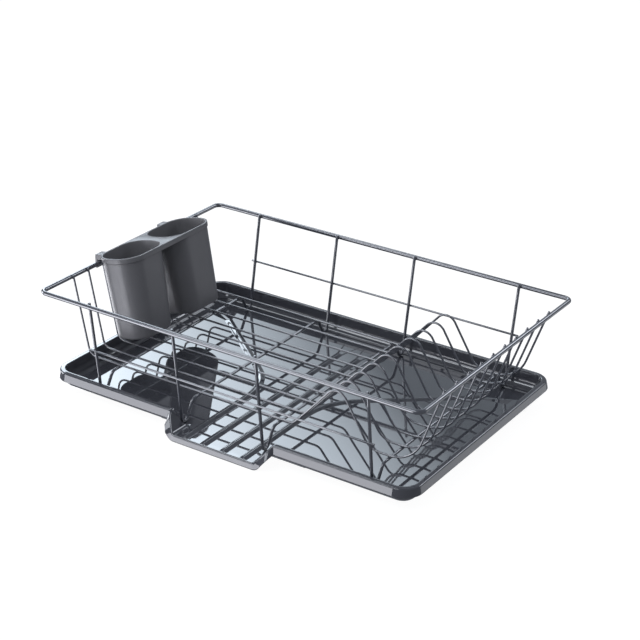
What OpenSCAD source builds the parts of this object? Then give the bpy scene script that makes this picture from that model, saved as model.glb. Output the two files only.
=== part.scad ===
// Dish drying rack: a welded wire basket that stands in a moulded drip tray,
// with a two-cup cutlery holder hooked over the left end of the basket's rim.
// Millimetres, +Z up. The origin is the centre of the tray's resting plane,
// +X runs to the plate arches and -Y to the drain spout.

/* [Wire] */
// Thickness of the rim wire
rim_d = 5.2; // [4:0.1:6]
// Thickness of the four cross wires
cross_d = 3.5; // [2.6:0.1:3.8]
// Thickness of the long wires and the side rails
thin_d = 2.4; // [1.6:0.1:2.6]

/* [Basket] */
// Length of the rim between wire centres
rim_l = 487; // [480:1:500]
// Width of the rim between wire centres
rim_w = 328.5; // [326:0.5:334]
// Corner radius of the rim's centreline
rim_r = 8; // [7:1:24]
// Depth from the rim down to the underside of the feet
basket_depth = 116.5; // [114:0.5:122]
// Depth from the rim down to the long wires of the basket floor
floor_depth = 91; // [86:0.5:95]
// Spacing of the long wires
long_pitch = 25.4; // [22:0.1:26]
// How far the front uprights lean in for each millimetre down
front_lean = 0.13; // [0.1:0.01:0.16]
// How far the back uprights lean in for each millimetre down
back_lean = 0.16; // [0.1:0.01:0.18]
// Depth of the side rails below the rim
rail_depth = 57; // [40:0.5:70]

/* [Plate arches] */
// Distance from the basket's middle to the foot of the arches
arch_x = 61; // [52:0.5:62]
// Height of an arch above the basket floor
arch_h = 54.7; // [48:0.1:60]

/* [Drip tray] */
// Length of the tray
tray_l = 472; // [466:1:480]
// Width of the tray
tray_w = 316.4; // [312:0.2:320]
// Height of the tray's lip above the resting plane
tray_h = 27.7; // [26:0.1:32]
// Corner radius of the tray
tray_r = 22; // [19:1:40]
// Wall thickness of the tray
tray_t = 1.8; // [1.6:0.1:2.2]
// Width of the lip's flat top
lip_w = 6.5; // [6:0.1:8]
// How far the spout stands out in front of the lip
spout_reach = 15.2; // [10:0.2:20]
// Half width of the spout at its floor
spout_floor_half = 53; // [46:1:56]

/* [Cutlery holder] */
// Width of the holder's rim
holder_w = 58; // [52:1:60]
// Length of the holder's rim
holder_l = 159; // [150:1:162]
// Depth of the cups
holder_depth = 98; // [80:1:99]
// Wall thickness of the cups
holder_t = 1.5; // [1.2:0.1:2]

/* [Hidden] */

wire_fn = 24;
smooth_fn = 64;
weld = 0.05;            // how deep welded wires bite into each other
nip = 0.06;             // how far a straight wire or rib runs into the bend it meets
swell = 0.02;           // how much thicker a bend is than its straights
cut_end = 2.6;          // how far wire ends stand above the rim's centre
clearance = 0.3;        // gap between pieces that only rest on each other

stand_h = 6.3;          // height of the moulded stand ribs under the tray
stand_l = 192;
stand_t = 3;
stand_y = 137;
floor_top = stand_h + tray_t;
skirt_z = tray_h - 10;
skirt_flare = 1.8;      // how far the skirt leans out on its way down
lip_round = 1.2;        // rounding of the lip's outer shoulder
floor_bend = 9.5;       // inner radius between the tray's wall and its floor

// The basket stands a little off the tray's centre
rack_at = [3.7, -1.5, floor_top + clearance + basket_depth];

cross_x = [-176.8, -63.5, 44, 180.5];
long_first_y = -113;

// Cross wire outline, measured from the basket's middle and the rim's plane
foot_w = 8.2;           // length of a foot along the tray floor
foot_bend = 5.3;
step_bend = 9;
step_run = 11.5;        // how far the inner leg of a foot leans in
foot_z = -basket_depth + cross_d / 2;
cross_floor_z = -floor_depth - (thin_d + cross_d) / 2 + weld;
rail_over = 6.5;        // how far a rail runs past the end cross wires

// Long wire outline, in the same frame
end_lean = 0.223;       // lean of the left end
right_lean = 0.345;     // lean of the right end
end_top = rim_l / 2 - lean_gap(rim_d, thin_d, end_lean);
right_top = rim_l / 2 - lean_gap(rim_d, thin_d, right_lean);
arch_up = 49;           // slope of an arch's left leg, degrees
arch_down = 58;         // slope of its right leg
arch_bend = 13.2;
end_bend = 11.3;
valley_bend = 22;
scoop_bend = 40;
arch_turn = arch_up + arch_down;
arch_corner = arch_h + arch_bend * (1 / cos(arch_turn / 2) - 1);
arch_peak_x = arch_x + arch_corner / tan(arch_up);
valley_x = arch_peak_x + arch_corner / tan(arch_down);

// Spout
spout_side_run = 14.4;  // how far each side leans out over the lip's height
spout_rise = tray_h - floor_top;
spout_flare = spout_side_run / spout_rise;
spout_band = 8;         // width of the turned-down edge around the spout
spout_front = tray_w / 2 + spout_reach;
spout_back = tray_w / 2 - lip_w - floor_bend;

// Drain ribs on the tray floor
rib_w = 6;
rib_h = 1.6;
rib_pitch = 26;
rib_back = 98;
rib_turn = 50.6;
rib_turn_y = -54;
rib_turn_r = 82.5;
rib_tail = 138;

// Cutlery holder, measured from the outer top edge of its rim
holder_tilt = 11.5;
holder_at = [-241, 0, 11.4];
holder_r = 25;
holder_band = 6;
holder_flange = 1;
side_draft = 0.03;      // how fast a cup's long sides lean in on the way down
end_draft = 0.012;      // the same for its outer end
facing_draft = 0.065;   // the same for the end that faces the other cup
cup_gap = 11;           // gap between the two cups below the rim
gap_shift = 2.5;        // how far that gap sits in front of the holder's middle
cup_skin = 0.1;         // thickness of the two plates that a cup is stretched between
cup_w = holder_w - 2 * holder_flange;
cup_mean_l = (holder_l - 2 * holder_flange - cup_gap) / 2;
drain_d = 6;
drain_pitch = 15;
hook_y = 57;
hook_w = 12;
hook_t = 2.6;
hook_reach = 9.5;
hook_drop = 8;

wire_colour = [0.36, 0.37, 0.39];
tray_colour = [0.27, 0.28, 0.31];
holder_colour = [0.36, 0.36, 0.38];

// Horizontal distance between a level wire and one that leans across it, so that they just meet
function lean_gap(d1, d2, lean) = ((d1 + d2) / 2 - weld) * sqrt(1 + lean * lean);

function heading(a, b) = atan2(b[1] - a[1], b[0] - a[0]);
function turn_at(a, b, c) = (heading(b, c) - heading(a, b) + 540) % 360 - 180;
function step_from(p, angle, run) = [p[0] + run * cos(angle), p[1] + run * sin(angle)];

// Length of straight wire that a bend takes up on each side of its corner
function bend_run(path, i) =
    i == 0 || i == len(path) - 1 ? 0
    : path[i][2] * tan(abs(turn_at(path[i - 1], path[i], path[i + 1])) / 2);

// A round bar in the XY plane through the corners [x, y, bend radius]
module bent_wire(path, d) {
    for (i = [0 : len(path) - 2]) {
        angle = heading(path[i], path[i + 1]);
        start = step_from(path[i], angle, bend_run(path, i));
        corner_gap = norm([path[i + 1][0] - path[i][0], path[i + 1][1] - path[i][1]]);
        run = corner_gap - bend_run(path, i) - bend_run(path, i + 1);
        nip_in = i == 0 ? 0 : nip;
        nip_out = i == len(path) - 2 ? 0 : nip;
        translate([start[0], start[1], 0])
            rotate([0, 90, angle])
                translate([0, 0, -nip_in])
                    cylinder(d = d, h = run + nip_in + nip_out, $fn = wire_fn);
    }
    for (i = [1 : len(path) - 2]) {
        angle = heading(path[i - 1], path[i]);
        turn = turn_at(path[i - 1], path[i], path[i + 1]);
        side = sign(turn);
        start = step_from(path[i], angle, -bend_run(path, i));
        centre = step_from(start, angle + 90 * side, path[i][2]);
        translate([centre[0], centre[1], 0])
            rotate(side > 0 ? angle - 90 : angle + 90 + turn)
                rotate_extrude(angle = abs(turn), $fn = smooth_fn)
                    translate([path[i][2], 0])
                        circle(d = d + swell, $fn = wire_fn);
    }
}

// Filled rounded rectangle
module rounded_plate(l, w, r) {
    square([l - 2 * r, w], center = true);
    square([l, w - 2 * r], center = true);
    for (x = [-1, 1], y = [-1, 1])
        translate([x * (l / 2 - r), y * (w / 2 - r)])
            circle(r = r, $fn = smooth_fn);
}

module rounded_ring(l, w, r, t) {
    difference() {
        rounded_plate(l, w, r);
        rounded_plate(l - 2 * t, w - 2 * t, r - t);
    }
}

// ---- Wire basket ----

module rim_wire() {
    half_l = rim_l / 2;
    half_w = rim_w / 2;
    loop = [[0, -half_w, 0], [half_l, -half_w, rim_r], [half_l, half_w, rim_r],
        [-half_l, half_w, rim_r], [-half_l, -half_w, rim_r], [0, -half_w, 0]];
    color(wire_colour)
        translate(rack_at)
            bent_wire(loop, rim_d);
}

// Distance of a leaning upright's centre from the basket's middle, at a height from the rim
function upright_at(lean, z) = rim_w / 2 - lean_gap(rim_d, cross_d, lean) + lean * z;

// One half of a cross wire, from its cut end above the rim to the basket floor
function half_cross(lean) = let (foot_y = -upright_at(lean, foot_z)) [
    [-upright_at(lean, cut_end), cut_end, 0],
    [foot_y, foot_z, foot_bend],
    [foot_y + foot_w, foot_z, foot_bend],
    [foot_y + foot_w + step_run, cross_floor_z, step_bend]];

function flipped(path) = [for (i = [len(path) - 1 : -1 : 0]) [-path[i][0], path[i][1], path[i][2]]];

cross_path = concat(half_cross(front_lean), flipped(half_cross(back_lean)));

module cross_wire(x) {
    color(wire_colour)
        translate(rack_at + [x, 0, 0])
            rotate([90, 0, 90])
                bent_wire(cross_path, cross_d);
}

long_path = [
    [-end_top - end_lean * cut_end, cut_end, 0],
    [-end_top + end_lean * floor_depth, -floor_depth, end_bend],
    [arch_x, -floor_depth, end_bend],
    [arch_peak_x, -floor_depth + arch_corner, arch_bend],
    [valley_x, -floor_depth, valley_bend],
    [right_top - right_lean * floor_depth, -floor_depth, scoop_bend],
    [right_top + right_lean * cut_end, cut_end, 0]];

module long_wire(number) {
    color(wire_colour)
        translate(rack_at + [0, long_first_y + long_pitch * (number - 1), 0])
            rotate([90, 0, 0])
                bent_wire(long_path, thin_d);
}

module side_rail(side, lean) {
    start = cross_x[0] - rail_over;
    y = upright_at(lean, -rail_depth) + lean_gap(cross_d, thin_d, lean);
    color(wire_colour)
        translate(rack_at + [start, side * y, -rail_depth])
            rotate([0, 90, 0])
                cylinder(d = thin_d, h = cross_x[3] - cross_x[0] + 2 * rail_over, $fn = wire_fn);
}

// ---- Drip tray ----

// Half of the tray wall's cross-section: x is the distance out from a corner's centre
module wall_section() {
    inner_r = tray_r - lip_w;
    bend_r = floor_bend + tray_t;
    difference() {
        union() {
            translate([inner_r, floor_top + floor_bend])
                square([tray_t, tray_h - floor_top - floor_bend]);
            translate([inner_r, tray_h - tray_t])
                square([lip_w, tray_t]);
            polygon([[tray_r - tray_t, tray_h], [tray_r, tray_h], [tray_r + skirt_flare, skirt_z],
                [tray_r + skirt_flare - tray_t, skirt_z]]);
        }
        difference() {
            translate([tray_r - lip_round, tray_h - lip_round])
                square(lip_round + 1);
            translate([tray_r - lip_round, tray_h - lip_round])
                circle(r = lip_round, $fn = smooth_fn);
        }
    }
    difference() {
        intersection() {
            translate([inner_r - floor_bend, floor_top + floor_bend])
                circle(r = bend_r, $fn = smooth_fn);
            translate([inner_r - floor_bend, stand_h])
                square(bend_r);
        }
        translate([inner_r - floor_bend, floor_top + floor_bend])
            circle(r = floor_bend, $fn = smooth_fn);
    }
}

// The wall's cross-section carried round the tray's outline
module tray_wall() {
    straight = [tray_w - 2 * tray_r, tray_l - 2 * tray_r];
    for (side = [0 : 3]) {
        along = straight[side % 2];
        across = straight[(side + 1) % 2];
        rotate(90 * side)
            translate([across / 2, along / 2, 0]) {
                rotate_extrude(angle = 90, $fn = smooth_fn)
                    wall_section();
                rotate([90, 0, 0])
                    linear_extrude(along)
                        wall_section();
            }
    }
}

module tray_shell() {
    edge = lip_w + floor_bend;
    tray_wall();
    translate([0, 0, stand_h])
        linear_extrude(tray_t)
            rounded_plate(tray_l - 2 * edge, tray_w - 2 * edge, tray_r - edge);
}

// A bar of the spout's cross-section from y = -front to y = -back, widened by grow on each side
module spout_bar(grow, low, high, front, back) {
    low_half = spout_floor_half + grow - spout_flare * (floor_top - low);
    high_half = spout_floor_half + grow + spout_flare * (high - floor_top);
    translate([0, -back, 0])
        rotate([90, 0, 0])
            linear_extrude(front - back)
                polygon([[-low_half, low], [low_half, low], [high_half, high], [-high_half, high]]);
}

// The space behind the spout's sloping front, at a depth behind that front
module behind_front(depth) {
    reach = spout_front - depth;
    outline = [[-spout_back, 0], [-reach, 0], [-reach, floor_top],
        [-reach + spout_reach, tray_h], [-spout_back, tray_h]];
    rotate([90, 0, 90])
        linear_extrude(tray_l / 2, center = true)
            polygon(outline);
}

// The basin's space inside its rounded front edge, a hair wider so that the wall alone is the surface
module basin_front() {
    reach = floor_bend + swell;
    translate([0, -spout_back, floor_top + floor_bend]) {
        rotate([0, 90, 0])
            cylinder(r = reach, h = tray_l / 2, center = true, $fn = smooth_fn);
        translate([-tray_l / 4, -reach, 0])
            cube([tray_l / 2, 2 * reach, tray_h]);
    }
}

module spout() {
    wall = tray_t * sqrt(1 + spout_flare * spout_flare);
    difference() {
        intersection() {
            spout_bar(wall, stand_h, tray_h, spout_front, spout_back);
            behind_front(0);
        }
        basin_front();
    }
    difference() {
        intersection() {
            spout_bar(spout_band, floor_top - spout_band, tray_h, spout_front, tray_w / 2 - tray_t);
            behind_front(0);
        }
        behind_front(tray_t);
    }
}

module stand_rib(y) {
    translate([-stand_l / 2, y - stand_t / 2, 0])
        cube([stand_l, stand_t, stand_h + tray_t / 2]);
}

module straight_rib(x) {
    translate([x - rib_w / 2, -spout_front + tray_t, floor_top - tray_t / 2])
        cube([rib_w, spout_front - tray_t + rib_back, rib_h + tray_t / 2]);
}

// A straight stretch of a rib's curved line, from y = start to y = stop
module rib_run(x, start, stop) {
    translate([x - (rib_w - swell) / 2, start, 0])
        cube([rib_w - swell, stop - start, rib_h + tray_t / 2]);
}

// An outer rib runs straight back from the spout, then curves out to the back corner
module outer_rib() {
    translate([0, 0, floor_top - tray_t / 2]) {
        rib_run(1.5 * rib_pitch, -spout_front + tray_t, rib_turn_y + nip);
        translate([1.5 * rib_pitch + rib_turn_r, rib_turn_y, 0])
            rotate(180 - rib_turn) {
                rotate_extrude(angle = rib_turn, $fn = smooth_fn)
                    translate([rib_turn_r - rib_w / 2, 0])
                        square([rib_w, rib_h + tray_t / 2]);
                rib_run(rib_turn_r, -rib_tail, nip);
            }
    }
}

module drip_tray() {
    color(tray_colour) {
        difference() {
            union() {
                tray_shell();
                spout();
            }
            spout_bar(0, floor_top, tray_h + 1, spout_front + 1, spout_back);
        }
        for (y = [-stand_y, 0, stand_y])
            stand_rib(y);
        for (x = [-0.5, 0.5])
            straight_rib(x * rib_pitch);
        outer_rib();
        mirror([1, 0, 0])
            outer_rib();
    }
}

// ---- Cutlery holder ----

// The back cup, side 1, is a little longer than the front one, side -1
function cup_l(side) = cup_mean_l + side * gap_shift;
function cup_y(side) = side * (cup_gap + cup_l(side)) / 2 - gap_shift;

// A cup-shaped solid, its mouth at z = 0, shrunk by inset all round
module cup_solid(side, inset, depth) {
    r = holder_r - holder_flange - inset;
    narrowing = side_draft * depth;
    hull() {
        translate([0, 0, -cup_skin])
            linear_extrude(cup_skin)
                rounded_plate(cup_w - 2 * inset, cup_l(side) - 2 * inset, r);
        translate([0, side * (facing_draft - end_draft) * depth / 2, -depth])
            linear_extrude(cup_skin)
                rounded_plate(cup_w - 2 * inset - 2 * narrowing,
                    cup_l(side) - 2 * inset - (facing_draft + end_draft) * depth, r - narrowing);
    }
}

module holder_body() {
    difference() {
        union() {
            for (side = [-1, 1])
                translate([0, cup_y(side), 0])
                    cup_solid(side, 0, holder_depth);
            translate([0, 0, -holder_t])
                linear_extrude(holder_t)
                    rounded_plate(holder_w, holder_l, holder_r);
            translate([0, 0, -holder_band])
                linear_extrude(holder_band)
                    rounded_ring(holder_w, holder_l, holder_r, holder_t);
        }
        for (side = [-1, 1])
            translate([0, cup_y(side), 0]) {
                translate([0, 0, cup_skin / 2])
                    cup_solid(side, holder_t, holder_depth - holder_t);
                for (x = [-1, 0, 1], y = [-1, 0, 1])
                    translate([x * drain_pitch, y * drain_pitch, -holder_depth - 1])
                        cylinder(d = drain_d, h = holder_t + 2, $fn = wire_fn);
            }
    }
}

// A hook stands over the rim wire and turns down outside it
module hook(y) {
    saddle = rim_d / 2 + clearance;
    wall = 2 * holder_t;
    top = holder_at[2] - hook_reach * end_lean;
    outline = [[wall, saddle + wall * end_lean], [wall, top + 2 * hook_t * end_lean],
        [-hook_reach, top - 1], [-hook_reach, -hook_drop], [-hook_reach + hook_t, -hook_drop],
        [-hook_reach + hook_t, saddle]];
    translate([0, y + hook_w / 2, -holder_at[2]])
        rotate([90, 0, 0])
            linear_extrude(hook_w)
                polygon(outline);
}

module cutlery_holder() {
    color(holder_colour)
        translate(rack_at + holder_at) {
            rotate([0, -holder_tilt, 0])
                translate([holder_w / 2, 0, 0])
                    holder_body();
            for (side = [-1, 1])
                hook(side * hook_y);
        }
}

drip_tray();
rim_wire();
cross_wire(cross_x[0]);  // cross_wire_1
cross_wire(cross_x[1]);  // cross_wire_2
cross_wire(cross_x[2]);  // cross_wire_3
cross_wire(cross_x[3]);  // cross_wire_4
side_rail(-1, front_lean);  // front_rail
side_rail(1, back_lean);  // back_rail
long_wire(1);  // long_wire_01
long_wire(2);  // long_wire_02
long_wire(3);  // long_wire_03
long_wire(4);  // long_wire_04
long_wire(5);  // long_wire_05
long_wire(6);  // long_wire_06
long_wire(7);  // long_wire_07
long_wire(8);  // long_wire_08
long_wire(9);  // long_wire_09
long_wire(10);  // long_wire_10
cutlery_holder();
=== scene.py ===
"""Looks of the dish drying rack: coated wires, a glossy drip tray and a matte cutlery holder."""
import math

import bmesh
import bpy
from mathutils import Matrix, Vector
from mathutils.geometry import delaunay_2d_cdt


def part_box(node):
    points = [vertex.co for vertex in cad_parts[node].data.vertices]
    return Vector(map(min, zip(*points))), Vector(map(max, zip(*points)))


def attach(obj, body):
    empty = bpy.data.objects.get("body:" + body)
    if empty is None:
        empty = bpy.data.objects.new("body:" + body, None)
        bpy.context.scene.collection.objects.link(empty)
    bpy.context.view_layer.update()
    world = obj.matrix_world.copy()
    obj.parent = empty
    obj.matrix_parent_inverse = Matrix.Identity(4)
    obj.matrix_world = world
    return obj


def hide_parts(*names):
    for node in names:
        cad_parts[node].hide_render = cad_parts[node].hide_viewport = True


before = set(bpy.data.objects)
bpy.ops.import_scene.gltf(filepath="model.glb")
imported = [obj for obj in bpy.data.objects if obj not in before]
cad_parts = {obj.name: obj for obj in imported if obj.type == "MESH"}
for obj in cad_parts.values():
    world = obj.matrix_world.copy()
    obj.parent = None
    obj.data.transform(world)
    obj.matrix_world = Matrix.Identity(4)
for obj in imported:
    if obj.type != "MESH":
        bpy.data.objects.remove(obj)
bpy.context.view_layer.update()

MM = 0.001

# ---- Where the frame puts things, in millimetres ----


def box_mm(node):
    low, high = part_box(node)
    return low / MM, high / MM


def middle_mm(node):
    """The middle of a node's CAD box, as x, y and z."""
    low, high = box_mm(node)
    return [(a + b) / 2 for a, b in zip(low, high)]


RIM_LOW, RIM_HIGH = box_mm("rim_wire")
RACK = (RIM_LOW + RIM_HIGH) / 2
TRAY_LOW, TRAY_HIGH = box_mm("drip_tray")
CROSS_NODES = ["cross_wire_%d" % number for number in range(1, 5)]
LONG_NODES = ["long_wire_%02d" % number for number in range(1, 11)]

# Wires; a lean is the run outwards per millimetre of height
RIM_D = 5.2
CROSS_D = 3.5
THIN_D = 2.4
WELD = 0.05             # how deep welded wires bite into each other
CUT_END = 2.6           # how far cut ends stand above the rim's middle
RIM_R = 8.0
RIM_HALF_L = (RIM_HIGH.x - RIM_LOW.x - RIM_D) / 2
RIM_HALF_W = (RIM_HIGH.y - RIM_LOW.y - RIM_D) / 2

FLOOR_DEPTH = 91.0      # from the rim's middle down to the middle of the long wires' floor
FOOT_Z = box_mm("cross_wire_1")[0].z - RACK.z + CROSS_D / 2
FRONT_LEAN = 0.13
BACK_LEAN = 0.16
FOOT_W = 8.2
FOOT_BEND = 5.3
STEP_BEND = 9.0
STEP_RUN = 11.5
LEFT_LEAN = 0.223
RIGHT_LEAN = 0.345
ARCH_X = 61.0           # where the plate arch leaves the floor, if its bend were sharp
ARCH_H = 54.7
ARCH_UP = math.radians(49)
ARCH_DOWN = math.radians(58)
ARCH_BEND = 13.2
END_BEND = 11.3
VALLEY_BEND = 22.0
SCOOP_BEND = 40.0

# Drip tray; the skirt is the lip's turned-down edge, and the band is the spout's
TRAY_T = 1.8
TRAY_H = TRAY_HIGH.z
SKIRT_FLARE = 1.8
SKIRT_DROP = 10.0
LIP_W = 6.5
TRAY_R = 22.0           # corners of the lip's edge
FLOOR_Z = 8.1
FLOOR_BEND = 9.5
HALF_L = TRAY_HIGH.x - SKIRT_FLARE
HALF_W = TRAY_HIGH.y - SKIRT_FLARE
WALL_X = HALF_L - LIP_W
WALL_Y = HALF_W - LIP_W
WALL_R = TRAY_R - LIP_W
SPOUT_FRONT = -TRAY_LOW.y
SPOUT_REACH = SPOUT_FRONT - HALF_W
SPOUT_FLOOR_HALF = 53.0
SPOUT_TOP_HALF = SPOUT_FLOOR_HALF + 14.4
SPOUT_BAND = 8.0
SPOUT_END = SPOUT_TOP_HALF + 14     # where the spout's cross-sections meet the plain ones
SPOUT_TOP_BEND = 3.5
SPOUT_FLOOR_BEND = 5.0
BAND_TOP_BEND = 1.2
BAND_LOW_BEND = 11.0
RIB_PITCH = 26.0
RIB_H = 1.6
RIB_HALF = 4.6
RIB_CREST = 0.12        # share of its half width over which a rib's crest is rounded
RIB_END = 3.0           # length over which a rib rises at each end
RIB_SETBACK = 2.6       # how far the ribs stay behind the spout's front edge
RIB_BACK = 98.0
RIB_TURN_Y = -54.0      # where the outer two ribs begin to turn aside
RIB_TURN_R = 82.5
RIB_TURN = math.radians(50.6)
RIB_TAIL = 138.0
STAND_Y = 137.0
STAND_L = 192.0
STAND_T = 3.0
STAND_TAPER = 0.09      # share of its thickness that a stand rib loses per millimetre downwards
STAND_EDGE = 0.5

# Cutlery holder
HOLDER_AT = Vector((-241, 0, 11.4))     # middle of its outer edge, from the rim wire's middle
HOLDER_TILT = math.radians(11.5)
HOLDER_W = 58.0
HOLDER_L = 159.0
HOLDER_R = 25.0
HOLDER_T = 1.5
HOLDER_DEPTH = 98.0
HOLDER_BAND = 6.0       # height of its rim, which stands out by the flange
HOLDER_FLANGE = 1.0
# How far a cup's sides, outer end and facing end come in per millimetre of depth
SIDE_DRAFT = 0.03
END_DRAFT = 0.012
FACING_DRAFT = 0.065
CUP_GAP = 11.0
GAP_SHIFT = 2.5         # the gap is nearer to the front, so the back cup is the longer one
DRAIN_D = 6.0
DRAIN_PITCH = 15.0
HOOK_Y = 57.0
HOOK_W = 12.0
HOOK_T = 2.6
HOOK_REACH = 9.5
HOOK_DROP = 8.0
HOOK_BEVEL = 1.0        # drop of the strap's outer corner below its slope
HOOK_EDGE = 0.5
CLEARANCE = 0.3

# ---- Mesh helpers: every builder works in millimetres ----

MERGE = 0.002           # vertices closer than this become one
SHARP_ANGLE = 40        # edges sharper than this, in degrees, stay sharp


def make_piece(name, body, nodes, material, bm):
    """Turns a bmesh in millimetres into a smooth-shaded piece that stands for some CAD nodes."""
    bmesh.ops.remove_doubles(bm, verts=bm.verts, dist=MERGE)
    bmesh.ops.dissolve_degenerate(bm, edges=bm.edges, dist=MERGE)
    bmesh.ops.recalc_face_normals(bm, faces=bm.faces)
    bmesh.ops.scale(bm, vec=(MM, MM, MM), verts=bm.verts)
    mesh = bpy.data.meshes.new(name)
    bm.to_mesh(mesh)
    bm.free()
    mesh.shade_smooth()
    mesh.set_sharp_from_angle(angle=math.radians(SHARP_ANGLE))
    mesh.materials.append(material)
    piece = bpy.data.objects.new(name, mesh)
    bpy.context.scene.collection.objects.link(piece)
    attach(piece, body)
    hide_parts(*nodes)


def ring_verts(bm, points):
    return [bm.verts.new(p) for p in points]


def bridge(bm, a, b, closed=True):
    """Quads between two rows of vertices with the same count."""
    count = len(a)
    for i in range(count if closed else count - 1):
        j = (i + 1) % count
        quad = []
        for v in (a[i], a[j], b[j], b[i]):
            if v not in quad:
                quad.append(v)
        if len(quad) > 2:
            bm.faces.new(quad)


def close_cone(bm, ring, point):
    """Triangles from a ring of vertices to a new one at its tip."""
    tip = bm.verts.new(point)
    for i in range(len(ring)):
        bm.faces.new((ring[i], ring[(i + 1) % len(ring)], tip))


def heading(a, b):
    """Direction from one corner to the next, as an angle."""
    return math.atan2(b[1] - a[1], b[0] - a[0])


def turn_between(a, b):
    """Signed turn from one heading to another, at most half a circle."""
    return (b - a + math.pi) % (2 * math.pi) - math.pi


def bend_run(path, i):
    """How much straight wire the bend at corner i takes up on each side."""
    if i in (0, len(path) - 1):
        return 0.0
    turn = turn_between(heading(path[i - 1], path[i]), heading(path[i], path[i + 1]))
    return path[i][2] * math.tan(abs(turn) / 2)


def follow(path, straight_steps, bend_steps):
    """Samples a path of [x, y, bend radius] corners as (point, direction) pairs.

    How many pairs there are depends only on the number of corners.
    """
    samples = []
    for i in range(len(path) - 1):
        angle = heading(path[i], path[i + 1])
        direction = Vector((math.cos(angle), math.sin(angle)))
        start = Vector(path[i][:2]) + direction * bend_run(path, i)
        end = Vector(path[i + 1][:2]) - direction * bend_run(path, i + 1)
        for step in range(straight_steps + 1):
            samples.append((start.lerp(end, step / straight_steps), direction.copy()))
        if i == len(path) - 2:
            break
        turn = turn_between(angle, heading(path[i + 1], path[i + 2]))
        side = 1 if turn > 0 else -1
        normal = Vector((-direction.y, direction.x)) * side
        centre = end + normal * path[i + 1][2]
        for step in range(1, bend_steps):
            spin = Matrix.Rotation(turn * step / bend_steps, 2)
            samples.append((centre + spin @ (end - centre), spin @ direction))
    return samples


# ---- Wires ----


def in_plane(plane, offset, point):
    """Where a 2D point of a wire's own plane lies. Points and offsets start at the rim's middle."""
    if plane == "level":
        local = Vector((point.x, point.y, offset))
    elif plane == "across":
        local = Vector((offset, point.x, point.y))
    else:
        local = Vector((point.x, offset, point.y))
    return local + RACK


WIRE_STEPS = 6              # samples along each straight stretch of a wire
CAP_RISE = 0.3              # bulge of a cut end, as a share of the wire's radius
CAP_STATIONS = (0.3, 0.65)  # shares of the bulge at which a cut end has a ring


def dome_end(bm, ring, centre, outward, radius):
    """The softly domed cap of a wire's cut end."""
    inner = ring
    for share in CAP_STATIONS:
        bulge = centre + outward * radius * CAP_RISE * share
        shrink = math.sqrt(1 - share * share)
        outer = ring_verts(bm, [bulge + (v.co - centre) * shrink for v in ring])
        bridge(bm, inner, outer)
        inner = outer
    close_cone(bm, inner, centre + outward * radius * CAP_RISE)


def wire_tube(bm, path, diameter, plane, offset, closed=False, sides=20, bend_steps=12):
    """A round bar along a bent path, closed to a loop or with domed ends."""
    radius = diameter / 2
    samples = follow(path, WIRE_STEPS, bend_steps)
    if closed:
        samples.pop()
    level = in_plane(plane, offset + 1, Vector((0, 0))) - in_plane(plane, offset, Vector((0, 0)))
    rings = []
    for point, direction in samples:
        flat = Vector((-direction.y, direction.x))
        ring = []
        for k in range(sides):
            angle = 2 * math.pi * k / sides
            place = point + flat * radius * math.cos(angle)
            ring.append(in_plane(plane, offset, place) + level * radius * math.sin(angle))
        rings.append(ring_verts(bm, ring))
    for a, b in zip(rings, rings[1:]):
        bridge(bm, a, b)
    if closed:
        bridge(bm, rings[-1], rings[0])
        return
    for end, sign in ((0, -1), (-1, 1)):
        point, direction = samples[end]
        centre = in_plane(plane, offset, point)
        outward = in_plane(plane, offset, point + direction * sign) - centre
        dome_end(bm, rings[end], centre, outward, radius)


BEAD_STEPS = 6
BEAD_SIDES = 12


def weld_bead(bm, centre, along, across, size):
    """A small coated fillet where two wires cross: an egg, sized along and across them and upwards."""
    up = along.cross(across).normalized()
    rings = []
    for i in range(1, BEAD_STEPS):
        polar = math.pi * i / BEAD_STEPS
        spread = math.sin(polar)
        ring = []
        for k in range(BEAD_SIDES):
            angle = 2 * math.pi * k / BEAD_SIDES
            ring.append(centre + along * size[0] * spread * math.cos(angle)
                        + across * size[1] * spread * math.sin(angle) + up * size[2] * math.cos(polar))
        rings.append(ring_verts(bm, ring))
    for a, b in zip(rings, rings[1:]):
        bridge(bm, a, b)
    for ring, pole in ((rings[0], 1), (rings[-1], -1)):
        close_cone(bm, ring, centre + up * size[2] * pole)


def lean_gap(d1, d2, lean):
    """Level distance between the middles of two welded wires, where the second one leans."""
    return ((d1 + d2) / 2 - WELD) * math.hypot(1, lean)


def upright_at(lean, z):
    """How far from the rack's middle a cross wire's upright stands at a height."""
    return RIM_HALF_W - lean_gap(RIM_D, CROSS_D, lean) + lean * z


CROSS_FLOOR_Z = -FLOOR_DEPTH - (THIN_D + CROSS_D) / 2 + WELD


def half_cross(lean):
    """Corners of a cross wire from its front end to the middle, or mirrored from its back end."""
    foot_y = -upright_at(lean, FOOT_Z)
    return [(-upright_at(lean, CUT_END), CUT_END, 0),
            (foot_y, FOOT_Z, FOOT_BEND),
            (foot_y + FOOT_W, FOOT_Z, FOOT_BEND),
            (foot_y + FOOT_W + STEP_RUN, CROSS_FLOOR_Z, STEP_BEND)]


CROSS_PATH = half_cross(FRONT_LEAN) + [(-x, z, r) for x, z, r in reversed(half_cross(BACK_LEAN))]

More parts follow.
